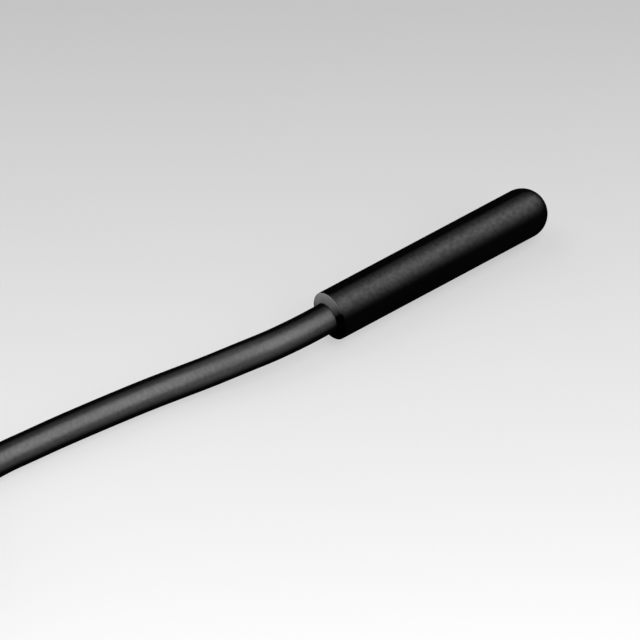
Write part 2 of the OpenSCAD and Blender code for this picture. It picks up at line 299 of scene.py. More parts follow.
def turnPlace(run, lane):
    # the place of a lane from above, after a run of the innermost lane
    run %= turnLength
    x = loopReach + hank["foldRadius"] * math.sin(meetAngle)
    y = -hank["foldRadius"] * math.cos(meetAngle)
    way = math.pi + meetAngle
    for length, bend in turnRuns:
        part = min(run, length)
        if bend:
            turned = way + bend * part
            x += (math.sin(turned) - math.sin(way)) / bend
            y -= (math.cos(turned) - math.cos(way)) / bend
            way = turned
        else:
            x += part * math.cos(way)
            y += part * math.sin(way)
        run -= part
        if run <= 0:
            break
    aside = lane * laneStep
    return x - aside * math.sin(way), y + aside * math.cos(way)


def laneAndLayer(run):
    # in a lane, up a layer, out a lane, up a layer, and so on
    lane, layer = float(hank["outerLane"]), 0.0
    for change in range(hank["changes"]):
        end = (change + 1) * turnLength - change * hank["changeBack"]
        share = eased((run - end + hank["changeRun"]) / hank["changeRun"])
        if change % 2:
            layer += share
        else:
            lane += share if change % 4 else -share
    return lane, layer


def hankPoint(run, lane, height):
    # at the waist the turns are lifted by the band that runs under them
    x, y = turnPlace(run, lane)
    lift = hank["bandThickness"] * (1 - eased((abs(x) - hank["waistHalf"]) / hank["settleRun"]))
    return hankX + x, hankY + y, height + lift


def innerRun(run):
    # what a run of the outer lane past the waist is along the innermost lane
    outerBend = waistBend - hank["outerLane"] * laneStep
    outerFold = hank["foldRadius"] + hank["outerLane"] * laneStep
    bent = min(run, lean * outerBend)
    straight = min(run - bent, hank["waistRun"])
    folded = run - bent - straight
    return bent * waistBend / outerBend + straight + folded * hank["foldRadius"] / outerFold


def cableLine():
    drop = axisZ - cableRadius
    route = []
    for back, across, share in cable["route"]:
        route.append((entryX - back, across, cableRadius + share * drop))
    comes = (-math.cos(meetAngle), -math.sin(meetAngle), 0)
    free = smoothLine(route, (-1, 0, 0), comes, cable["freeStep"])
    start = np.array(route[0]) + np.array([[cable["overlap"], 0, 0]])
    runEnd = woundRun + innerRun(hank["tailJacket"])
    wound = []
    for run in np.arange(0, runEnd, cable["hankStep"]).tolist() + [runEnd]:
        lane, layer = laneAndLayer(run)
        wound.append(hankPoint(run, lane, laneStep * (0.5 + layer)))
    wound = np.array(wound)
    join = np.linspace(free[-1], wound[0], cable["joinRings"])[1:-1]
    return np.concatenate([start, free, join, wound])


cablePath = cableLine()
cableLength = float(np.linalg.norm(np.diff(cablePath, axis=0), axis=1).sum()) - cable["overlap"]
jacket = sweepTube("cable", cablePath, cableRadius, cable["sides"])
print(f"cable: {cableLength:.3f} m of jacket, {len(cablePath)} rings")


# cores past the end of the jacket, and their tinned ends
cores = {
    "diameter": 0.0012,
    "pitch": 0.0015,  # between the middles of the two cores
    "dropRun": 0.008,  # m in which they come down from the jacket onto the step below
    "inside": 0.0006,  # m that the drawn core starts inside the jacket
    "step": 0.001,
    "sides": 20,
}
tinning = {
    "radius": 0.0003,
    "strand": 0.0001,  # radius of one strand, six of them round a seventh
    "filled": 0.86,  # how far out the tin fills the grooves, as a share of the radius
    "lay": 0.0045,  # m in which the strands go once round
    "tip": 0.0002,  # m over which the end is rounded
    "endShare": 0.3,  # of the radius, which is left at the very end
    "step": 0.0001,
    "sides": 48,
}
stepZ = hankHigh.z - hank["bandThickness"] - laneStep  # top of the layer that the cores lie on
coreEnd = hank["tailJacket"] + hank["stripLength"] - hank["tinnedLength"]


def corePoint(run, side):
    # side is 1 for the core further out and -1 for the other
    lane = hank["outerLane"] + side * cores["pitch"] / 2 / laneStep
    drop = 1 - eased((run - hank["tailJacket"]) / cores["dropRun"])
    height = stepZ + cores["diameter"] / 2 + (laneStep - cores["diameter"]) / 2 * drop
    return hankPoint(woundRun + innerRun(run), lane, height)


def strandSection(angle, along):
    # distance out to the outermost strand at this angle, with the tin between strands
    turned = (angle - 2 * math.pi * along / tinning["lay"]) % (math.pi / 3) - math.pi / 6
    strand, out = tinning["strand"], tinning["radius"] - tinning["strand"]
    bulge = strand**2 - (out * math.sin(turned)) ** 2
    reach = out * math.cos(turned) + math.sqrt(max(bulge, 0.0))
    left = min((hank["tinnedLength"] - along) / tinning["tip"], 1.0)
    tip = math.sqrt(max(1 - (1 - left) ** 2, tinning["endShare"] ** 2))
    return max(reach, tinning["filled"] * tinning["radius"]) * tip


def addCore(letter, side):
    runs = np.arange(hank["tailJacket"] - cores["inside"], coreEnd, cores["step"]).tolist() + [coreEnd]
    line = np.array([corePoint(run, side) for run in runs])
    core = sweepTube("core_" + letter, line, cores["diameter"] / 2, cores["sides"])
    way = line[-1] - line[-2]
    way /= np.linalg.norm(way)
    count = round(hank["tinnedLength"] / tinning["step"])
    wire = np.array([line[-1] + way * tinning["step"] * i for i in range(count + 1)])
    tinned = sweepTube("tinned_" + letter, wire, tinning["radius"], tinning["sides"], strandSection)
    return core, tinned


coreA, tinnedA = addCore("a", 1)
coreB, tinnedB = addCore("b", -1)
print("cable end: cores and tinned ends are in")


# tie round the waist of the hank
tie = {
    "bandWidth": 0.0025,  # its thickness stands with the hank's sizes
    "headLength": 0.0046,
    "headZ": 0.0085,  # height of the head's middle
    "slotRoom": 0.00025,  # m of slot left on each side of the band
    "slotDepth": 0.0008,
    "slotInset": 0.0005,  # m, which only makes the slot's corners before they are put in their places
    "stubBack": 0.0001,  # m that the cut end stands back in the slot
    "cornerSteps": 10,
    "softEdge": 0.00022,
    "softSegments": 3,
    "softAngle": math.radians(40),  # edges sharper than this are softened
}
tieLow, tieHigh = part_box("hank_tie")
thick = hank["bandThickness"]
halfWidth = tie["bandWidth"] / 2
outerWaist = (hank["outerLane"] + 0.5) * laneStep  # from the middle of the hank to the outer lane
# the drawn turns reach half a cable further out at the waist than the plain solid does
headFront = tieLow.y - cableRadius
headBack = hankY - outerWaist - cableRadius - thick


def bandLoop():
    # (y, z, outward y, outward z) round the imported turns, on the band's inner side
    low, high = thick + cableRadius, hankHigh.z - cableRadius
    left, right = -outerWaist, outerWaist
    corners = [(left, low, 180), (right, low, 270), (right, high, 0), (left, high, 90)]
    found = []
    for y, z, fromAngle in corners:
        for i in range(tie["cornerSteps"] + 1):
            angle = math.radians(fromAngle + 90 * i / tie["cornerSteps"])
            out = (math.cos(angle), math.sin(angle))
            found.append((hankY + y + cableRadius * out[0], z + cableRadius * out[1], *out))
    return found


def addBand(form):
    rings = []
    for y, z, outY, outZ in bandLoop():
        ring = []
        for x, out in ((-halfWidth, 0), (halfWidth, 0), (halfWidth, thick), (-halfWidth, thick)):
            ring.append(form.verts.new((hankX + x, y + out * outY, z + out * outZ)))
        rings.append(ring)
    for i, ring in enumerate(rings):
        after = rings[(i + 1) % len(rings)]
        for k in range(4):
            form.faces.new((ring[k], ring[(k + 1) % 4], after[(k + 1) % 4], after[k]))


def addBox(form, low, high):
    # the third of its faces looks towards -Y
    corners = [form.verts.new(corner) for corner in itertools.product(*zip(low, high))]
    sides = [(0, 1, 3, 2), (4, 6, 7, 5), (0, 4, 5, 1), (2, 3, 7, 6), (0, 2, 6, 4), (1, 5, 7, 3)]
    return [form.faces.new([corners[i] for i in side]) for side in sides]


def addHead(form):
    # a block with the slot that the band comes out of
    low = (tieLow.x, headFront, tie["headZ"] - tie["headLength"] / 2)
    high = (tieHigh.x, headBack, tie["headZ"] + tie["headLength"] / 2)
    front = addBox(form, low, high)[2]
    slotHalfX = halfWidth + tie["slotRoom"]
    slotHalfZ = thick / 2 + tie["slotRoom"]
    bmesh.ops.inset_region(form, faces=[front], thickness=tie["slotInset"], use_even_offset=True)
    for corner in front.verts:
        corner.co.x = hankX + math.copysign(slotHalfX, corner.co.x - hankX)
        corner.co.z = tie["headZ"] + math.copysign(slotHalfZ, corner.co.z - tie["headZ"])
    made = bmesh.ops.extrude_face_region(form, geom=[front])
    for corner in [v for v in made["geom"] if isinstance(v, bmesh.types.BMVert)]:
        corner.co.y += tie["slotDepth"]
    form.faces.remove(front)


def addCutEnd(form):
    # the end of the band, in the slot
    low = (hankX - halfWidth, headFront + tie["stubBack"], tie["headZ"] - thick / 2)
    high = (hankX + halfWidth, headFront + tie["slotDepth"], tie["headZ"] + thick / 2)
    addBox(form, low, high)


def addTie():
    form = bmesh.new()
    addBand(form)
    addHead(form)
    addCutEnd(form)
    bmesh.ops.recalc_face_normals(form, faces=form.faces)
    mesh = bpy.data.meshes.new("cable_tie")
    form.to_mesh(mesh)
    form.free()
    mesh.shade_smooth()
    piece = addObject("cable_tie", mesh)
    edge = piece.modifiers.new("soft edges", "BEVEL")
    edge.width = tie["softEdge"]
    edge.segments = tie["softSegments"]
    edge.angle_limit = tie["softAngle"]
    piece.modifiers.new("even shading", "WEIGHTED_NORMAL")
    return piece


cableTie = addTie()
print("tie: round the hank")


# bulb: a line round its section, from the bottom of the cable's seat to the tip
def addBulb():
    radius, slope, edge = bulb["radius"], bulb["endSlope"], bulb["rimEdge"]
    seat, mouth = cableRadius, bulb["mouthEdge"]
    edgeMiddle = radius - edge
    rise = (edgeMiddle + edge * math.sin(slope) - seat) * math.tan(slope)
    rimPlace = rise + edge * math.cos(slope)
    domeStart = bulbLength - radius
    profile = [(bulb["jacketGrip"], 0), (bulb["jacketGrip"], seat), (mouth, seat)]
    profile.append((mouth * math.tan(slope), seat + mouth))
    profile += arc(rimPlace, edgeMiddle, edge, 180 - math.degrees(slope), 90, bulb["rimSteps"])
    rows = round((domeStart - rimPlace) / bulb["rowStep"])
    profile += [(rimPlace + (domeStart - rimPlace) * i / rows, radius) for i in range(1, rows)]
    profile += arc(domeStart, 0, radius, 90, 0, bulb["domeSteps"])
    profile[-1] = (bulbLength, 0)
    piece = revolve("bulb", profile, bulb["sides"])
    # the blunt face is a second material, from the cable's mouth to part of the way round the small edge
    faceEnd = entryX + rimPlace - edge * (1 - bulb["faceOverEdge"])
    for face in piece.data.polygons:
        out = math.hypot(face.center.y, face.center.z - axisZ)
        if face.center.x < faceEnd and out > seat:
            face.material_index = 1
    return piece


bulbPiece = addBulb()
print("bulb: moulded form is in")


# node trees: a value that is a socket is linked, and any other is set on the input
def addNode(tree, kind, values=None, **settings):
    node = tree.nodes.new(kind)
    for key, value in settings.items():
        setattr(node, key, value)
    for socket, value in (values or {}).items():
        if isinstance(value, bpy.types.NodeSocket):
            tree.links.new(value, node.inputs[socket])
        else:
            node.inputs[socket].default_value = value
    return node


def doMath(tree, operation, first, second=0.0):
    return addNode(tree, "ShaderNodeMath", {0: first, 1: second}, operation=operation).outputs[0]


def doVectorMath(tree, operation, first, second):
    node = addNode(tree, "ShaderNodeVectorMath", {0: first, 1: second}, operation=operation)
    return node.outputs["Value" if operation == "DOT_PRODUCT" else "Vector"]


def average(tree, first, second):
    return doMath(tree, "MULTIPLY", doMath(tree, "ADD", first, second), 0.5)


def splitAxes(tree, vector):
    return addNode(tree, "ShaderNodeSeparateXYZ", {0: vector}).outputs


def spread(tree, value, fromEnds, toEnds=(0.0, 1.0)):
    # a value between the first two ends goes over to the same place between the other two
    ends = {"From Min": fromEnds[0], "From Max": fromEnds[1], "To Min": toEnds[0], "To Max": toEnds[1]}
    return addNode(tree, "ShaderNodeMapRange", {"Value": value, **ends}).outputs["Result"]


def blendColours(tree, share, first, second):
    ends = [end if isinstance(end, bpy.types.NodeSocket) else (*end, 1) for end in (first, second)]
    return addNode(tree, "ShaderNodeMix", {0: share, 6: ends[0], 7: ends[1]}, data_type="RGBA").outputs[2]


def addNoise(tree, place, size, detail):
    # size is that of one patch, in metres
    values = {"Vector": place, "Scale": doMath(tree, "DIVIDE", 1.0, size), "Detail": detail}
    return addNode(tree, "ShaderNodeTexNoise", values).outputs[0]


# surface effects that several finishes share
noiseEnds = (0.3, 0.7)  # nearly all values of a noise lie between these
scuffs = {
    "middle": 0.5,  # value of the noise along the middle of a scuff
    "halfWidth": 0.006,  # of a scuff, in values of the noise
    "areaSize": 0.6,  # of the places where scuffs are, in mark sizes
    "rarest": 0.8,  # value that a second noise must pass there at a cover of 0
    "coverEffect": 0.5,  # how far a cover of 1 brings that value down
    "fade": 0.06,
}
specks = {
    "cloudSize": 30.0,  # of the clouds in which specks gather, in speck sizes
    "rarest": 0.84,  # value that the noise must pass at a cover of 0
    "fade": 0.05,
    "facesUp": (0.2, 0.9),  # upward share of the normal at which dust begins and is full
}


def newEffect(name, takes, gives):
    # takes holds each input with its own value, where None makes it a vector
    tree = bpy.data.node_groups.new(name, "ShaderNodeTree")
    for label, value in takes.items():
        kind = "NodeSocketVector" if value is None else "NodeSocketFloat"
        socket = tree.interface.new_socket(name=label, in_out="INPUT", socket_type=kind)
        if value is not None:
            socket.default_value = value
    for label in gives:
        tree.interface.new_socket(name=label, in_out="OUTPUT", socket_type="NodeSocketFloat")
    inside = tree.nodes.new("NodeGroupInput").outputs
    outside = tree.nodes.new("NodeGroupOutput").inputs
    return tree, inside, outside


def makeFineGrain():
    # the skin that a mould or a coating leaves: fine grain, and broad patches of more and less gloss
    tree, takes, gives = newEffect(
        "fineGrain", {"Place": None, "Grain Size": 0.0002, "Patch Size": 0.006}, ["Height", "Patches"]
    )
    grain = addNoise(tree, takes["Place"], takes["Grain Size"], detail=3.0)
    patches = addNoise(tree, takes["Place"], takes["Patch Size"], detail=2.0)
    tree.links.new(grain, gives["Height"])
    tree.links.new(patches, gives["Patches"])
    return tree


def makeDrawnLines():
    # faint lines along a drawn or extruded surface, from its lay: metres round it, and along it
    tree, takes, gives = newEffect(
        "drawnLines", {"Lay": None, "Line Width": 0.00012, "Line Length": 0.008}, ["Height", "Shade"]
    )
    broadScale = 0.12  # the shade changes this much more slowly than the lines do
    parts = splitAxes(tree, takes["Lay"])
    across = doMath(tree, "DIVIDE", parts["X"], takes["Line Width"])
    along = doMath(tree, "DIVIDE", parts["Y"], takes["Line Length"])
    lay = addNode(tree, "ShaderNodeCombineXYZ", {0: across, 1: along}).outputs[0]
    lines = addNode(tree, "ShaderNodeTexNoise", {"Vector": lay, "Scale": 1.0, "Detail": 2.0})
    broad = addNode(tree, "ShaderNodeTexNoise", {"Vector": lay, "Scale": broadScale, "Detail": 1.0})
    tree.links.new(lines.outputs[0], gives["Height"])
    tree.links.new(broad.outputs[0], gives["Shade"])
    return tree


def makeHandlingMarks():
    # thin scuffs in all directions, few of them, as a mask
    tree, takes, gives = newEffect(
        "handlingMarks", {"Place": None, "Mark Size": 0.004, "Cover": 0.3}, ["Mask"]
    )
    # a scuff lies where the noise crosses its middle value, so it is thin and curved
    bent = addNoise(tree, takes["Place"], takes["Mark Size"], detail=2.0)
    off = doMath(tree, "ABSOLUTE", doMath(tree, "SUBTRACT", bent, scuffs["middle"]))
    thin = spread(tree, off, (0.0, scuffs["halfWidth"]), (1.0, 0.0))
    areaSize = doMath(tree, "MULTIPLY", takes["Mark Size"], scuffs["areaSize"])
    area = addNoise(tree, takes["Place"], areaSize, detail=1.0)
    lowered = doMath(tree, "MULTIPLY", takes["Cover"], scuffs["coverEffect"])
    least = doMath(tree, "SUBTRACT", scuffs["rarest"], lowered)
    kept = spread(tree, area, (least, doMath(tree, "ADD", least, scuffs["fade"])))
    tree.links.new(doMath(tree, "MULTIPLY", thin, kept), gives["Mask"])
    return tree


def makeSettledDust():
    # specks on what faces up, as a mask
    tree, takes, gives = newEffect(
        "settledDust", {"Place": None, "Speck Size": 0.0004, "Cover": 0.2}, ["Mask"]
    )
    grains = addNoise(tree, takes["Place"], takes["Speck Size"], detail=1.0)
    cloudSize = doMath(tree, "MULTIPLY", takes["Speck Size"], specks["cloudSize"])
    cloud = addNoise(tree, takes["Place"], cloudSize, detail=2.0)
    least = doMath(tree, "SUBTRACT", specks["rarest"], doMath(tree, "MULTIPLY", takes["Cover"], cloud))
    kept = spread(tree, grains, (least, doMath(tree, "ADD", least, specks["fade"])))
    normal = addNode(tree, "ShaderNodeNewGeometry").outputs["Normal"]
    facing = spread(tree, splitAxes(tree, normal)["Z"], specks["facesUp"])
    tree.links.new(doMath(tree, "MULTIPLY", kept, facing), gives["Mask"])
    return tree


def makeTwistedStrands():
    # the strands of a bundle that runs along X, from the place about the bundle's own middle, with a mask
    # for painted shade in the gaps between them
    tree, takes, gives = newEffect(
        "twistedStrands", {"Place": None, "Strands": 6.0, "Lay Length": 0.008}, ["Height", "Gap Shade"]
    )
    gapTop = 0.25  # height on a strand below which the painted shade of the gap between two begins to show
    parts = splitAxes(tree, takes["Place"])
    angle = doMath(tree, "ARCTAN2", parts["Z"], parts["Y"])
    turned = doMath(tree, "MULTIPLY", doMath(tree, "DIVIDE", parts["X"], takes["Lay Length"]), math.tau)
    phase = doMath(tree, "MULTIPLY", doMath(tree, "ADD", angle, turned), takes["Strands"])
    height = spread(tree, doMath(tree, "COSINE", phase), (-1.0, 1.0))
    tree.links.new(doMath(tree, "SQRT", height), gives["Height"])
    tree.links.new(spread(tree, height, (0.0, gapTop), (1.0, 0.0)), gives["Gap Shade"])
    return tree


effects = {
    "fineGrain": makeFineGrain(),
    "drawnLines": makeDrawnLines(),
    "handlingMarks": makeHandlingMarks(),
    "settledDust": makeSettledDust(),
    "twistedStrands": makeTwistedStrands(),
}


# finishes
dustColour = (0.05, 0.048, 0.046)


def addEffect(tree, name, values):
    return addNode(tree, "ShaderNodeGroup", values, node_tree=effects[name]).outputs


def addGrain(tree, place, grainSize, patchSize):
    values = {"Place": place, "Grain Size": grainSize, "Patch Size": patchSize}
    return addEffect(tree, "fineGrain", values)


def newFinish(name, evenValues):
    # evenValues are those that are the same all over, set on the shader's own sockets
    material = bpy.data.materials.new(name)
    material.use_nodes = True
    tree = material.node_tree
    shader = tree.nodes["Principled BSDF"]
    for socket, value in evenValues.items():
        shader.inputs[socket].default_value = value
    coordinates = addNode(tree, "ShaderNodeTexCoord").outputs
    return material, tree, shader.inputs, coordinates["Object"], coordinates["UV"]


def colourAndWear(tree, inputs, place, shade, look):
    # colour and roughness from the uneven shade, with dust on the one and scuffs on the other
    colour = blendColours(tree, shade, look["deep"], look["bright"])
    if look["dustCover"]:
        values = {"Place": place, "Speck Size": look["speckSize"], "Cover": look["dustCover"]}
        dust = addEffect(tree, "settledDust", values)["Mask"]
        colour = blendColours(tree, doMath(tree, "MULTIPLY", dust, look["dustShow"]), colour, dustColour)
    tree.links.new(colour, inputs["Base Color"])
    values = {"Place": place, "Mark Size": look["markSize"], "Cover": look["markCover"]}
    marks = addEffect(tree, "handlingMarks", values)["Mask"]
    rough = spread(tree, shade, look["shadeEnds"], look["roughness"])
    worn = doMath(tree, "MULTIPLY", marks, look["markEffect"])
    tree.links.new(doMath(tree, "ADD", rough, worn), inputs["Roughness"])


def addRelief(tree, inputs, layers):
    # bumps one on another: (height socket, depth in metres). A coat keeps its own smooth normal.
    normal = None
    for height, depth in layers:
        values = {"Height": height, "Distance": depth, "Strength": 1.0}
        if normal is not None:
            values["Normal"] = normal
        normal = addNode(tree, "ShaderNodeBump", values).outputs[0]
    tree.links.new(normal, inputs["Normal"])


def rubberValues(look):
    # black rubber shines by its coat alone, whose weight can differ from place to place
    return {
        "Metallic": 0.0,
        "Specular IOR Level": 0.0,
        "Coat Roughness": look["coatRoughness"],
        "Coat IOR": look["coatIor"],
    }


def glossWeight(tree, height, unevenness, look, edgeOn):
    # height is that on the round section, from -1 underneath to 1 on top:
    # full gloss on the handled upper side, none on the side that lies on things,
    # and less where the surface is seen edge-on, as on any matt rubber
    upper = doMath(tree, "POWER", spread(tree, height, look["glossyFrom"]), look["glossRise"])
    facing = addNode(tree, "ShaderNodeLayerWeight", {"Blend": 0.5}).outputs["Facing"]
    turned = spread(tree, facing, edgeOn, (1.0, 0.0))
    uneven = spread(tree, unevenness, noiseEnds, (look["leastGloss"], 1.0))
    return doMath(tree, "MULTIPLY", doMath(tree, "MULTIPLY", upper, turned), uneven)


# sizes and depths are in metres, and roughness goes from its first value to its second with the noise
mould = {
    "deep": (0.0012, 0.0012, 0.0013),
    "bright": (0.0022, 0.0022, 0.0023),
    "shadeEnds": noiseEnds,
    "roughness": (0.6, 0.7),
    "coatRoughness": 0.5,
    "coatIor": 1.73,
    "grainSize": 0.00022,
    "grainDepth": 0.000006,
    "patchSize": 0.007,
    "waveSize": 0.0045,  # faint flow of the moulded surface
    "waveDepth": 0.000012,
    "cloudSize": 0.0005,  # uneven gloss of the moulded surface
    "leastGloss": 0.6,
    "glossyFrom": (0.35, 0.92),  # height on the round section, from -1 underneath to 1 on top
    "glossRise": 2.0,
    "edgeOn": (0.2, 0.42),  # how far the surface turns away, from 0 to 1
    "domeEdgeOn": (0.58, 0.85),  # the same on the tip, which use has rubbed smooth
    "domeRun": 0.0024,  # m in which one goes over into the other
    "markSize": 0.006,
    "markCover": 0.25,
    "markEffect": -0.08,  # on the roughness: what rubs the bulb makes it smoother
    "speckSize": 0.00016,
    "dustCover": 0.2,
    "dustShow": 0.5,  # how much of its own colour a speck shows
}


def makeMouldedRubber():
    material, tree, inputs, place, _ = newFinish("mouldedRubber", rubberValues(mould))
    skin = addGrain(tree, place, mould["grainSize"], mould["patchSize"])
    colourAndWear(tree, inputs, place, skin["Patches"], mould)
    parts = splitAxes(tree, place)
    height = doMath(tree, "DIVIDE", doMath(tree, "SUBTRACT", parts["Z"], axisZ), bulb["radius"])
    domeStart = bulbHigh.x - bulb["radius"]
    domeEnds = (domeStart, domeStart + mould["domeRun"])
    overDome = zip(mould["edgeOn"], mould["domeEdgeOn"])
    edgeOn = [spread(tree, parts["X"], domeEnds, ends) for ends in overDome]
    clouds = addNoise(tree, place, mould["cloudSize"], detail=3.0)
    tree.links.new(glossWeight(tree, height, clouds, mould, edgeOn), inputs["Coat Weight"])
    flow = addNoise(tree, place, mould["waveSize"], detail=1.0)
    addRelief(tree, inputs, [(flow, mould["waveDepth"]), (skin["Height"], mould["grainDepth"])])
    return material


bluntFace = {
    "dark": (0.0014, 0.0014, 0.0014),
    "pale": (0.5, 0.5, 0.504),
    # painted light: the blunt end is coloured pale towards this way, up on the side where the light falls
    "paintedLightTowards": (0, 0.5, 0.866),
    "paintedLightFrom": (0.08, 1.02),  # how far out that way the painted light starts and is full, in radii
    "paintedLightUneven": (-0.08, 0.08),  # radii by which the patches shift it
    "roughness": (0.7, 0.8),
    "grainSize": 0.00012,
    "grainDepth": 0.000006,
    "patchSize": 0.0015,
}


def makeBluntFace():
    # the blunt cable end: its grain is finer than the sides', and its colour is painted light: pale up on
    # one side of it, where the light falls, and near black on the rest
    material, tree, inputs, place, _ = newFinish(
        "bluntFace", {"Metallic": 0.0, "Specular IOR Level": 0.0, "IOR": 1.5}
    )
    skin = addGrain(tree, place, bluntFace["grainSize"], bluntFace["patchSize"])
    away = doVectorMath(tree, "SUBTRACT", place, (0, 0, axisZ))
    out = doVectorMath(tree, "DOT_PRODUCT", away, bluntFace["paintedLightTowards"])
    share = doMath(tree, "DIVIDE", out, bulb["radius"])
    uneven = spread(tree, skin["Patches"], noiseEnds, bluntFace["paintedLightUneven"])
    # painted light: the colour goes pale up on one side, where the light falls on the blunt end
    paintedLight = spread(tree, doMath(tree, "ADD", share, uneven), bluntFace["paintedLightFrom"])
    tree.links.new(blendColours(tree, paintedLight, bluntFace["dark"], bluntFace["pale"]), inputs["Base Color"])
    tree.links.new(spread(tree, skin["Patches"], noiseEnds, bluntFace["roughness"]), inputs["Roughness"])
    addRelief(tree, inputs, [(skin["Height"], bluntFace["grainDepth"])])
    return material


sheath = {
    "deep": (0.0016, 0.0016, 0.0017),
    "bright": (0.003, 0.003, 0.0031),
    "shadeEnds": (0.35, 0.65),  # closer than one noise's, because two are averaged
    "roughness": (0.5, 0.6),
    "coatRoughness": 0.45,
    "coatIor": 2.1,
    "grainSize": 0.00015,
    "grainDepth": 0.000003,
    "patchSize": 0.012,
    "lineWidth": 0.00018,
    "lineLength": 0.012,
    "lineDepth": 0.0000035,
    "cloudSize": 0.0004,
    "leastGloss": 0.55,
    "glossyFrom": (-0.4, 0.3),
    "glossRise": 1.0,
    "edgeOn": (0.03, 0.45),
    "markSize": 0.005,
    "markCover": 0.4,
    "markEffect": 0.12,
    "speckSize": 0.00018,
    "dustCover": 0.25,
    "dustShow": 0.5,
}


def makeCableJacket(name, drawn):
    # drawn is False for the solid inside the bulb, which has no lay of its own
    material, tree, inputs, place, lay = newFinish(name, rubberValues(sheath))
    skin = addGrain(tree, place, sheath["grainSize"], sheath["patchSize"])
    relief = [(skin["Height"], sheath["grainDepth"])]
    shade = skin["Patches"]
    if drawn:
        sizes = {"Lay": lay, "Line Width": sheath["lineWidth"], "Line Length": sheath["lineLength"]}
        lines = addEffect(tree, "drawnLines", sizes)
        relief.insert(0, (lines["Height"], sheath["lineDepth"]))
        shade = average(tree, shade, lines["Shade"])
        # the lay starts underneath, so half way round is on top
        angle = doMath(tree, "MULTIPLY", splitAxes(tree, lay)["X"], 1 / cableRadius)
        height = doMath(tree, "MULTIPLY", doMath(tree, "COSINE", angle), -1.0)
        uneven = average(tree, addNoise(tree, place, sheath["cloudSize"], detail=3.0), shade)
        tree.links.new(glossWeight(tree, height, uneven, sheath, sheath["edgeOn"]), inputs["Coat Weight"])
    colourAndWear(tree, inputs, place, shade, sheath)
    addRelief(tree, inputs, relief)
    return material


# small moulded, extruded, dipped or fired parts: what they share, then what each has of its own
plainShared = {
    "even": {"Metallic": 0.0, "IOR": 1.5},
    "shadeEnds": noiseEnds,
    "patchGrains": 14,  # how many grains wide a patch is
    "markSize": 0.003,
    "markCover": 0.35,
    "markEffect": 0.1,
    "speckSize": 0.0002,
    "dustCover": 0.0,  # no dust, unless a part has its own value
    "dustShow": 0.35,
}
plainSkins = {
    "paleCoreInsulation": {
        "deep": (0.7, 0.68, 0.62),
        "bright": (0.8, 0.78, 0.72),
        "roughness": (0.36, 0.46),
        "grainSize": 0.0001,
        "grainDepth": 0.000002,
        "dustCover": 0.2,
    },
    "darkCoreInsulation": {
        "deep": (0.03, 0.03, 0.032),
        "bright": (0.045, 0.045, 0.048),
        "roughness": (0.34, 0.44),
        "grainSize": 0.0001,
        "grainDepth": 0.000002,
        "dustCover": 0.2,
    },
    "tinnedCopper": {
        "even": {"Metallic": 1.0},
        "deep": (0.5, 0.5, 0.5),
        "bright": (0.68, 0.68, 0.67),
        "roughness": (0.24, 0.42),
        "grainSize": 0.00006,
        "grainDepth": 0.000004,
    },
    "shrunkSleeve": {
        "deep": (0.06, 0.065, 0.075),
        "bright": (0.09, 0.095, 0.105),
        "roughness": (0.5, 0.62),
        "grainSize": 0.0001,
        "grainDepth": 0.000006,
    },
    "filmSleeve": {
        "deep": (0.42, 0.21, 0.04),
        "bright": (0.55, 0.31, 0.08),
        "roughness": (0.14, 0.24),
        "grainSize": 0.00025,
        "grainDepth": 0.000002,
    },
    "sinteredOxide": {
        "deep": (0.1, 0.095, 0.09),
        "bright": (0.2, 0.19, 0.18),
        "roughness": (0.55, 0.75),
        "grainSize": 0.00004,
        "grainDepth": 0.000004,
    },
    "dippedEpoxy": {
        "deep": (0.022, 0.014, 0.01),
        "bright": (0.036, 0.024, 0.017),
        "roughness": (0.1, 0.2),
        "grainSize": 0.0006,
        "grainDepth": 0.000008,
    },
    "naturalNylon": {
        "deep": (0.68, 0.66, 0.59),
        "bright": (0.78, 0.76, 0.7),
        "roughness": (0.36, 0.48),
        "grainSize": 0.00014,
        "grainDepth": 0.000003,
        "dustCover": 0.3,
    },
}


def makePlainSkin(name, look):
    material, tree, inputs, place, _ = newFinish(name, look["even"])
    skin = addGrain(tree, place, look["grainSize"], look["grainSize"] * look["patchGrains"])
    colourAndWear(tree, inputs, place, skin["Patches"], look)
    addRelief(tree, inputs, [(skin["Height"], look["grainDepth"])])
    return material


copper = {
    "deep": (0.62, 0.33, 0.2),
    "bright": (0.78, 0.46, 0.31),
    # painted shade: a darker copper for the grooves between the strands
    "gap": (0.2, 0.09, 0.05),
    "roughness": (0.24, 0.38),
    "strands": 6.0,
    "lay": 0.008,
    "strandDepth": 0.00003,
    "grainSize": 0.00008,
    "grainDepth": 0.000001,
    "patchSize": 0.0012,
}


def makeStrandedCopper(name, node):
    # the bundle's strands are drawn about the middle of the CAD rod, with painted shade in the grooves
    # between them
    low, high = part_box(node)
    material, tree, inputs, place, _ = newFinish(name, {"Metallic": 1.0})
    about = doVectorMath(tree, "SUBTRACT", place, (low + high) / 2)
    sizes = {"Place": about, "Strands": copper["strands"], "Lay Length": copper["lay"]}
    strands = addEffect(tree, "twistedStrands", sizes)
    skin = addGrain(tree, place, copper["grainSize"], copper["patchSize"])
    metal = blendColours(tree, skin["Patches"], copper["deep"], copper["bright"])
    # painted shade: the copper goes darker down in the grooves between the strands
    tree.links.new(blendColours(tree, strands["Gap Shade"], metal, copper["gap"]), inputs["Base Color"])
    tree.links.new(spread(tree, skin["Patches"], noiseEnds, copper["roughness"]), inputs["Roughness"])
    layers = [(strands["Height"], copper["strandDepth"]), (skin["Height"], copper["grainDepth"])]
    addRelief(tree, inputs, layers)
    return material


def putOn(piece, material):
    # every slot of a piece or of a CAD node takes the finish
    if not piece.material_slots:
        piece.data.materials.append(material)
    for slot in piece.material_slots:
        slot.material = material


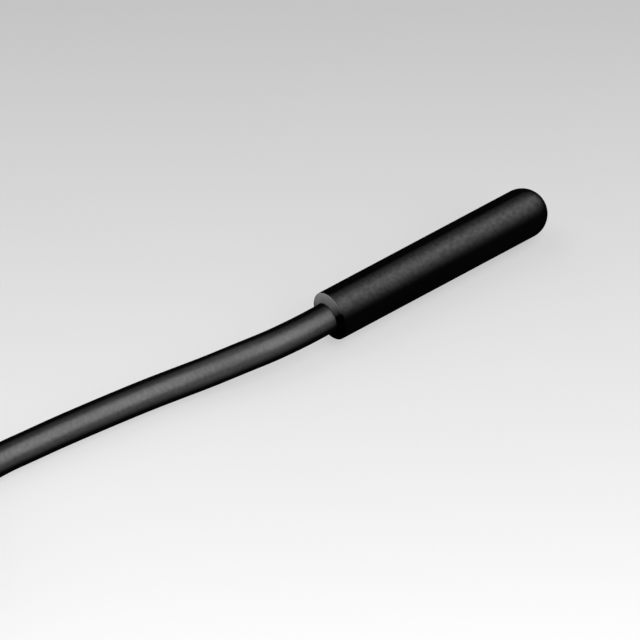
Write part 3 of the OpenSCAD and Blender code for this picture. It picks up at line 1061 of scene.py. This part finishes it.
finishes = {
    "mouldedRubber": makeMouldedRubber(),
    "bluntFace": makeBluntFace(),
    "cableJacket": makeCableJacket("cableJacket", True),
    "jacketInBulb": makeCableJacket("jacketInBulb", False),
}
for name, own in plainSkins.items():
    finishes[name] = makePlainSkin(name, {**plainShared, **own})
for letter in ("a", "b"):
    name = "copperStrands_" + letter
    finishes[name] = makeStrandedCopper(name, "conductor_" + letter)
print(f"finishes: {len(finishes)} materials on {len(effects)} shared effects")

# the CAD solids that each finish goes on
cadFinishes = {
    "jacketInBulb": ["jacket_end"],
    "paleCoreInsulation": ["core_insulation_a"],
    "darkCoreInsulation": ["core_insulation_b"],
    "copperStrands_a": ["conductor_a"],
    "copperStrands_b": ["conductor_b"],
    "tinnedCopper": ["splice_crimp_a", "splice_crimp_b", "bead_lead_a", "bead_lead_b"],
    "shrunkSleeve": ["splice_sleeve_a", "splice_sleeve_b"],
    "filmSleeve": ["lead_sleeve_a", "lead_sleeve_b"],
    "sinteredOxide": ["thermistor_chip"],
    "dippedEpoxy": ["bead_coating"],
}
for finish, nodes in cadFinishes.items():
    for node in nodes:
        putOn(cadNodes[node], finishes[finish])

# piece, finish, material slot, and the solids that it stands for
newPieces = [
    (bulbPiece, "mouldedRubber", "mould", ["overmould"]),
    (jacket, "cableJacket", "jacket", ["cable_tube", "cable_hank", "cable_tail"]),
    (coreA, "paleCoreInsulation", "core_white", ["tail_core_a"]),
    (coreB, "darkCoreInsulation", "core_dark", ["tail_core_b"]),
    (tinnedA, "tinnedCopper", "tinned", ["tinned_end_a"]),
    (tinnedB, "tinnedCopper", "tinned", ["tinned_end_b"]),
    (cableTie, "naturalNylon", "tie", ["hank_tie"]),
]
for piece, finish, slot, nodes in newPieces:
    putOn(piece, finishes[finish])
    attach(piece, "root")
    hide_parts(*nodes)
bulbPiece.data.materials.append(finishes["bluntFace"])


# floor, grey at the top of the picture and white at its foot
floor = {
    "size": 6.0,
    "roughness": 0.9,
    "towards": (0.6303, 0.7763, 0),  # away from the camera along the floor
    "whiteAt": -0.0542,  # m from the bulb's cable end along that direction
    "greyAt": 0.0597,
    "shades": [(0.0, 1.0), (0.33, 0.845), (0.67, 0.7), (1.0, 0.565)],
    "shadowShare": 0.33,  # how much of its tone comes from the light that falls on it
}


def addFloor():
    half = floor["size"] / 2
    corners = [(entryX + x, y, 0) for x, y in ((-half, -half), (half, -half), (half, half), (-half, half))]
    mesh = bpy.data.meshes.new("floor")
    mesh.from_pydata(corners, [], [(0, 1, 2, 3)])
    plane = addObject("floor", mesh)
    evenValues = {"Roughness": floor["roughness"], "Specular IOR Level": 0.0}
    material, tree, inputs, place, _ = newFinish("paleFloor", evenValues)
    away = doVectorMath(tree, "SUBTRACT", place, (entryX, 0, 0))
    run = doVectorMath(tree, "DOT_PRODUCT", away, floor["towards"])
    share = spread(tree, run, (floor["whiteAt"], floor["greyAt"]))
    ramp = addNode(tree, "ShaderNodeValToRGB", {"Fac": share})
    stops = ramp.color_ramp.elements
    for at, shade in floor["shades"][1:-1]:
        stops.new(at)
    for stop, (at, shade) in zip(stops, floor["shades"]):
        stop.position = at
        stop.color = (shade, shade, shade, 1)
    tree.links.new(ramp.outputs["Color"], inputs["Base Color"])
    # it shows its own tone to the camera and in glossy things, and takes shadows for the rest
    glow = addNode(tree, "ShaderNodeEmission", {"Color": ramp.outputs["Color"], "Strength": 1.0}).outputs[0]
    path = addNode(tree, "ShaderNodeLightPath").outputs
    seen = doMath(tree, "MAXIMUM", path["Is Camera Ray"], path["Is Glossy Ray"])
    seen = doMath(tree, "MAXIMUM", seen, path["Is Transmission Ray"])
    glowShare = doMath(tree, "MULTIPLY", seen, 1 - floor["shadowShare"])
    lit = tree.nodes["Principled BSDF"].outputs[0]
    mix = addNode(tree, "ShaderNodeMixShader", {0: glowShare, 1: lit, 2: glow})
    tree.links.new(mix.outputs[0], tree.nodes["Material Output"].inputs["Surface"])
    plane.data.materials.append(material)


addFloor()
print("floor: laid")


# light
lights = {
    "aim": (-0.05, 0.0, 0.0),
    "distance": 0.9,  # m from there to each lamp
    # sizes are in metres, and the first is the one that lies more along the bulb
    "lamps": {
        "key": {"towards": (0.36, -0.5615, 0.7451), "size": (0.6, 1.3), "radiance": 3.35},
        "back": {"towards": (-0.1, 0.72, 0.69), "size": (0.9, 0.9), "radiance": 1.5},
        "tip": {"towards": (0.93, -0.05, 0.36), "size": (0.45, 0.5), "radiance": 3.0},
    },
    "sky": 0.06,  # the floor reaches past every view, so this only lifts the shadows
}


def addLamp(name, setup):
    lamp = bpy.data.lights.new(name, "AREA")
    lamp.shape = "RECTANGLE"
    lamp.size, lamp.size_y = setup["size"]
    # W of an even white face of this radiance
    lamp.energy = setup["radiance"] * math.pi * setup["size"][0] * setup["size"][1]
    holder = addObject(name, lamp)
    way = Vector(setup["towards"]).normalized()
    across = way.cross(Vector((1, 0, 0))).normalized()
    along = across.cross(way)
    holder.matrix_world = Matrix((along, across, way)).transposed().to_4x4()
    holder.location = Vector(lights["aim"]) + way * lights["distance"]
    holder.visible_camera = False


def addSky():
    sky = bpy.data.worlds.new("studio")
    bpy.context.scene.world = sky
    sky.use_nodes = True
    background = sky.node_tree.nodes["Background"].inputs
    background["Color"].default_value = (1, 1, 1, 1)
    background["Strength"].default_value = lights["sky"]


for name, setup in lights["lamps"].items():
    addLamp(name, setup)
addSky()
bpy.context.scene.view_settings.view_transform = "Standard"
print("light: key, back, tip and sky")
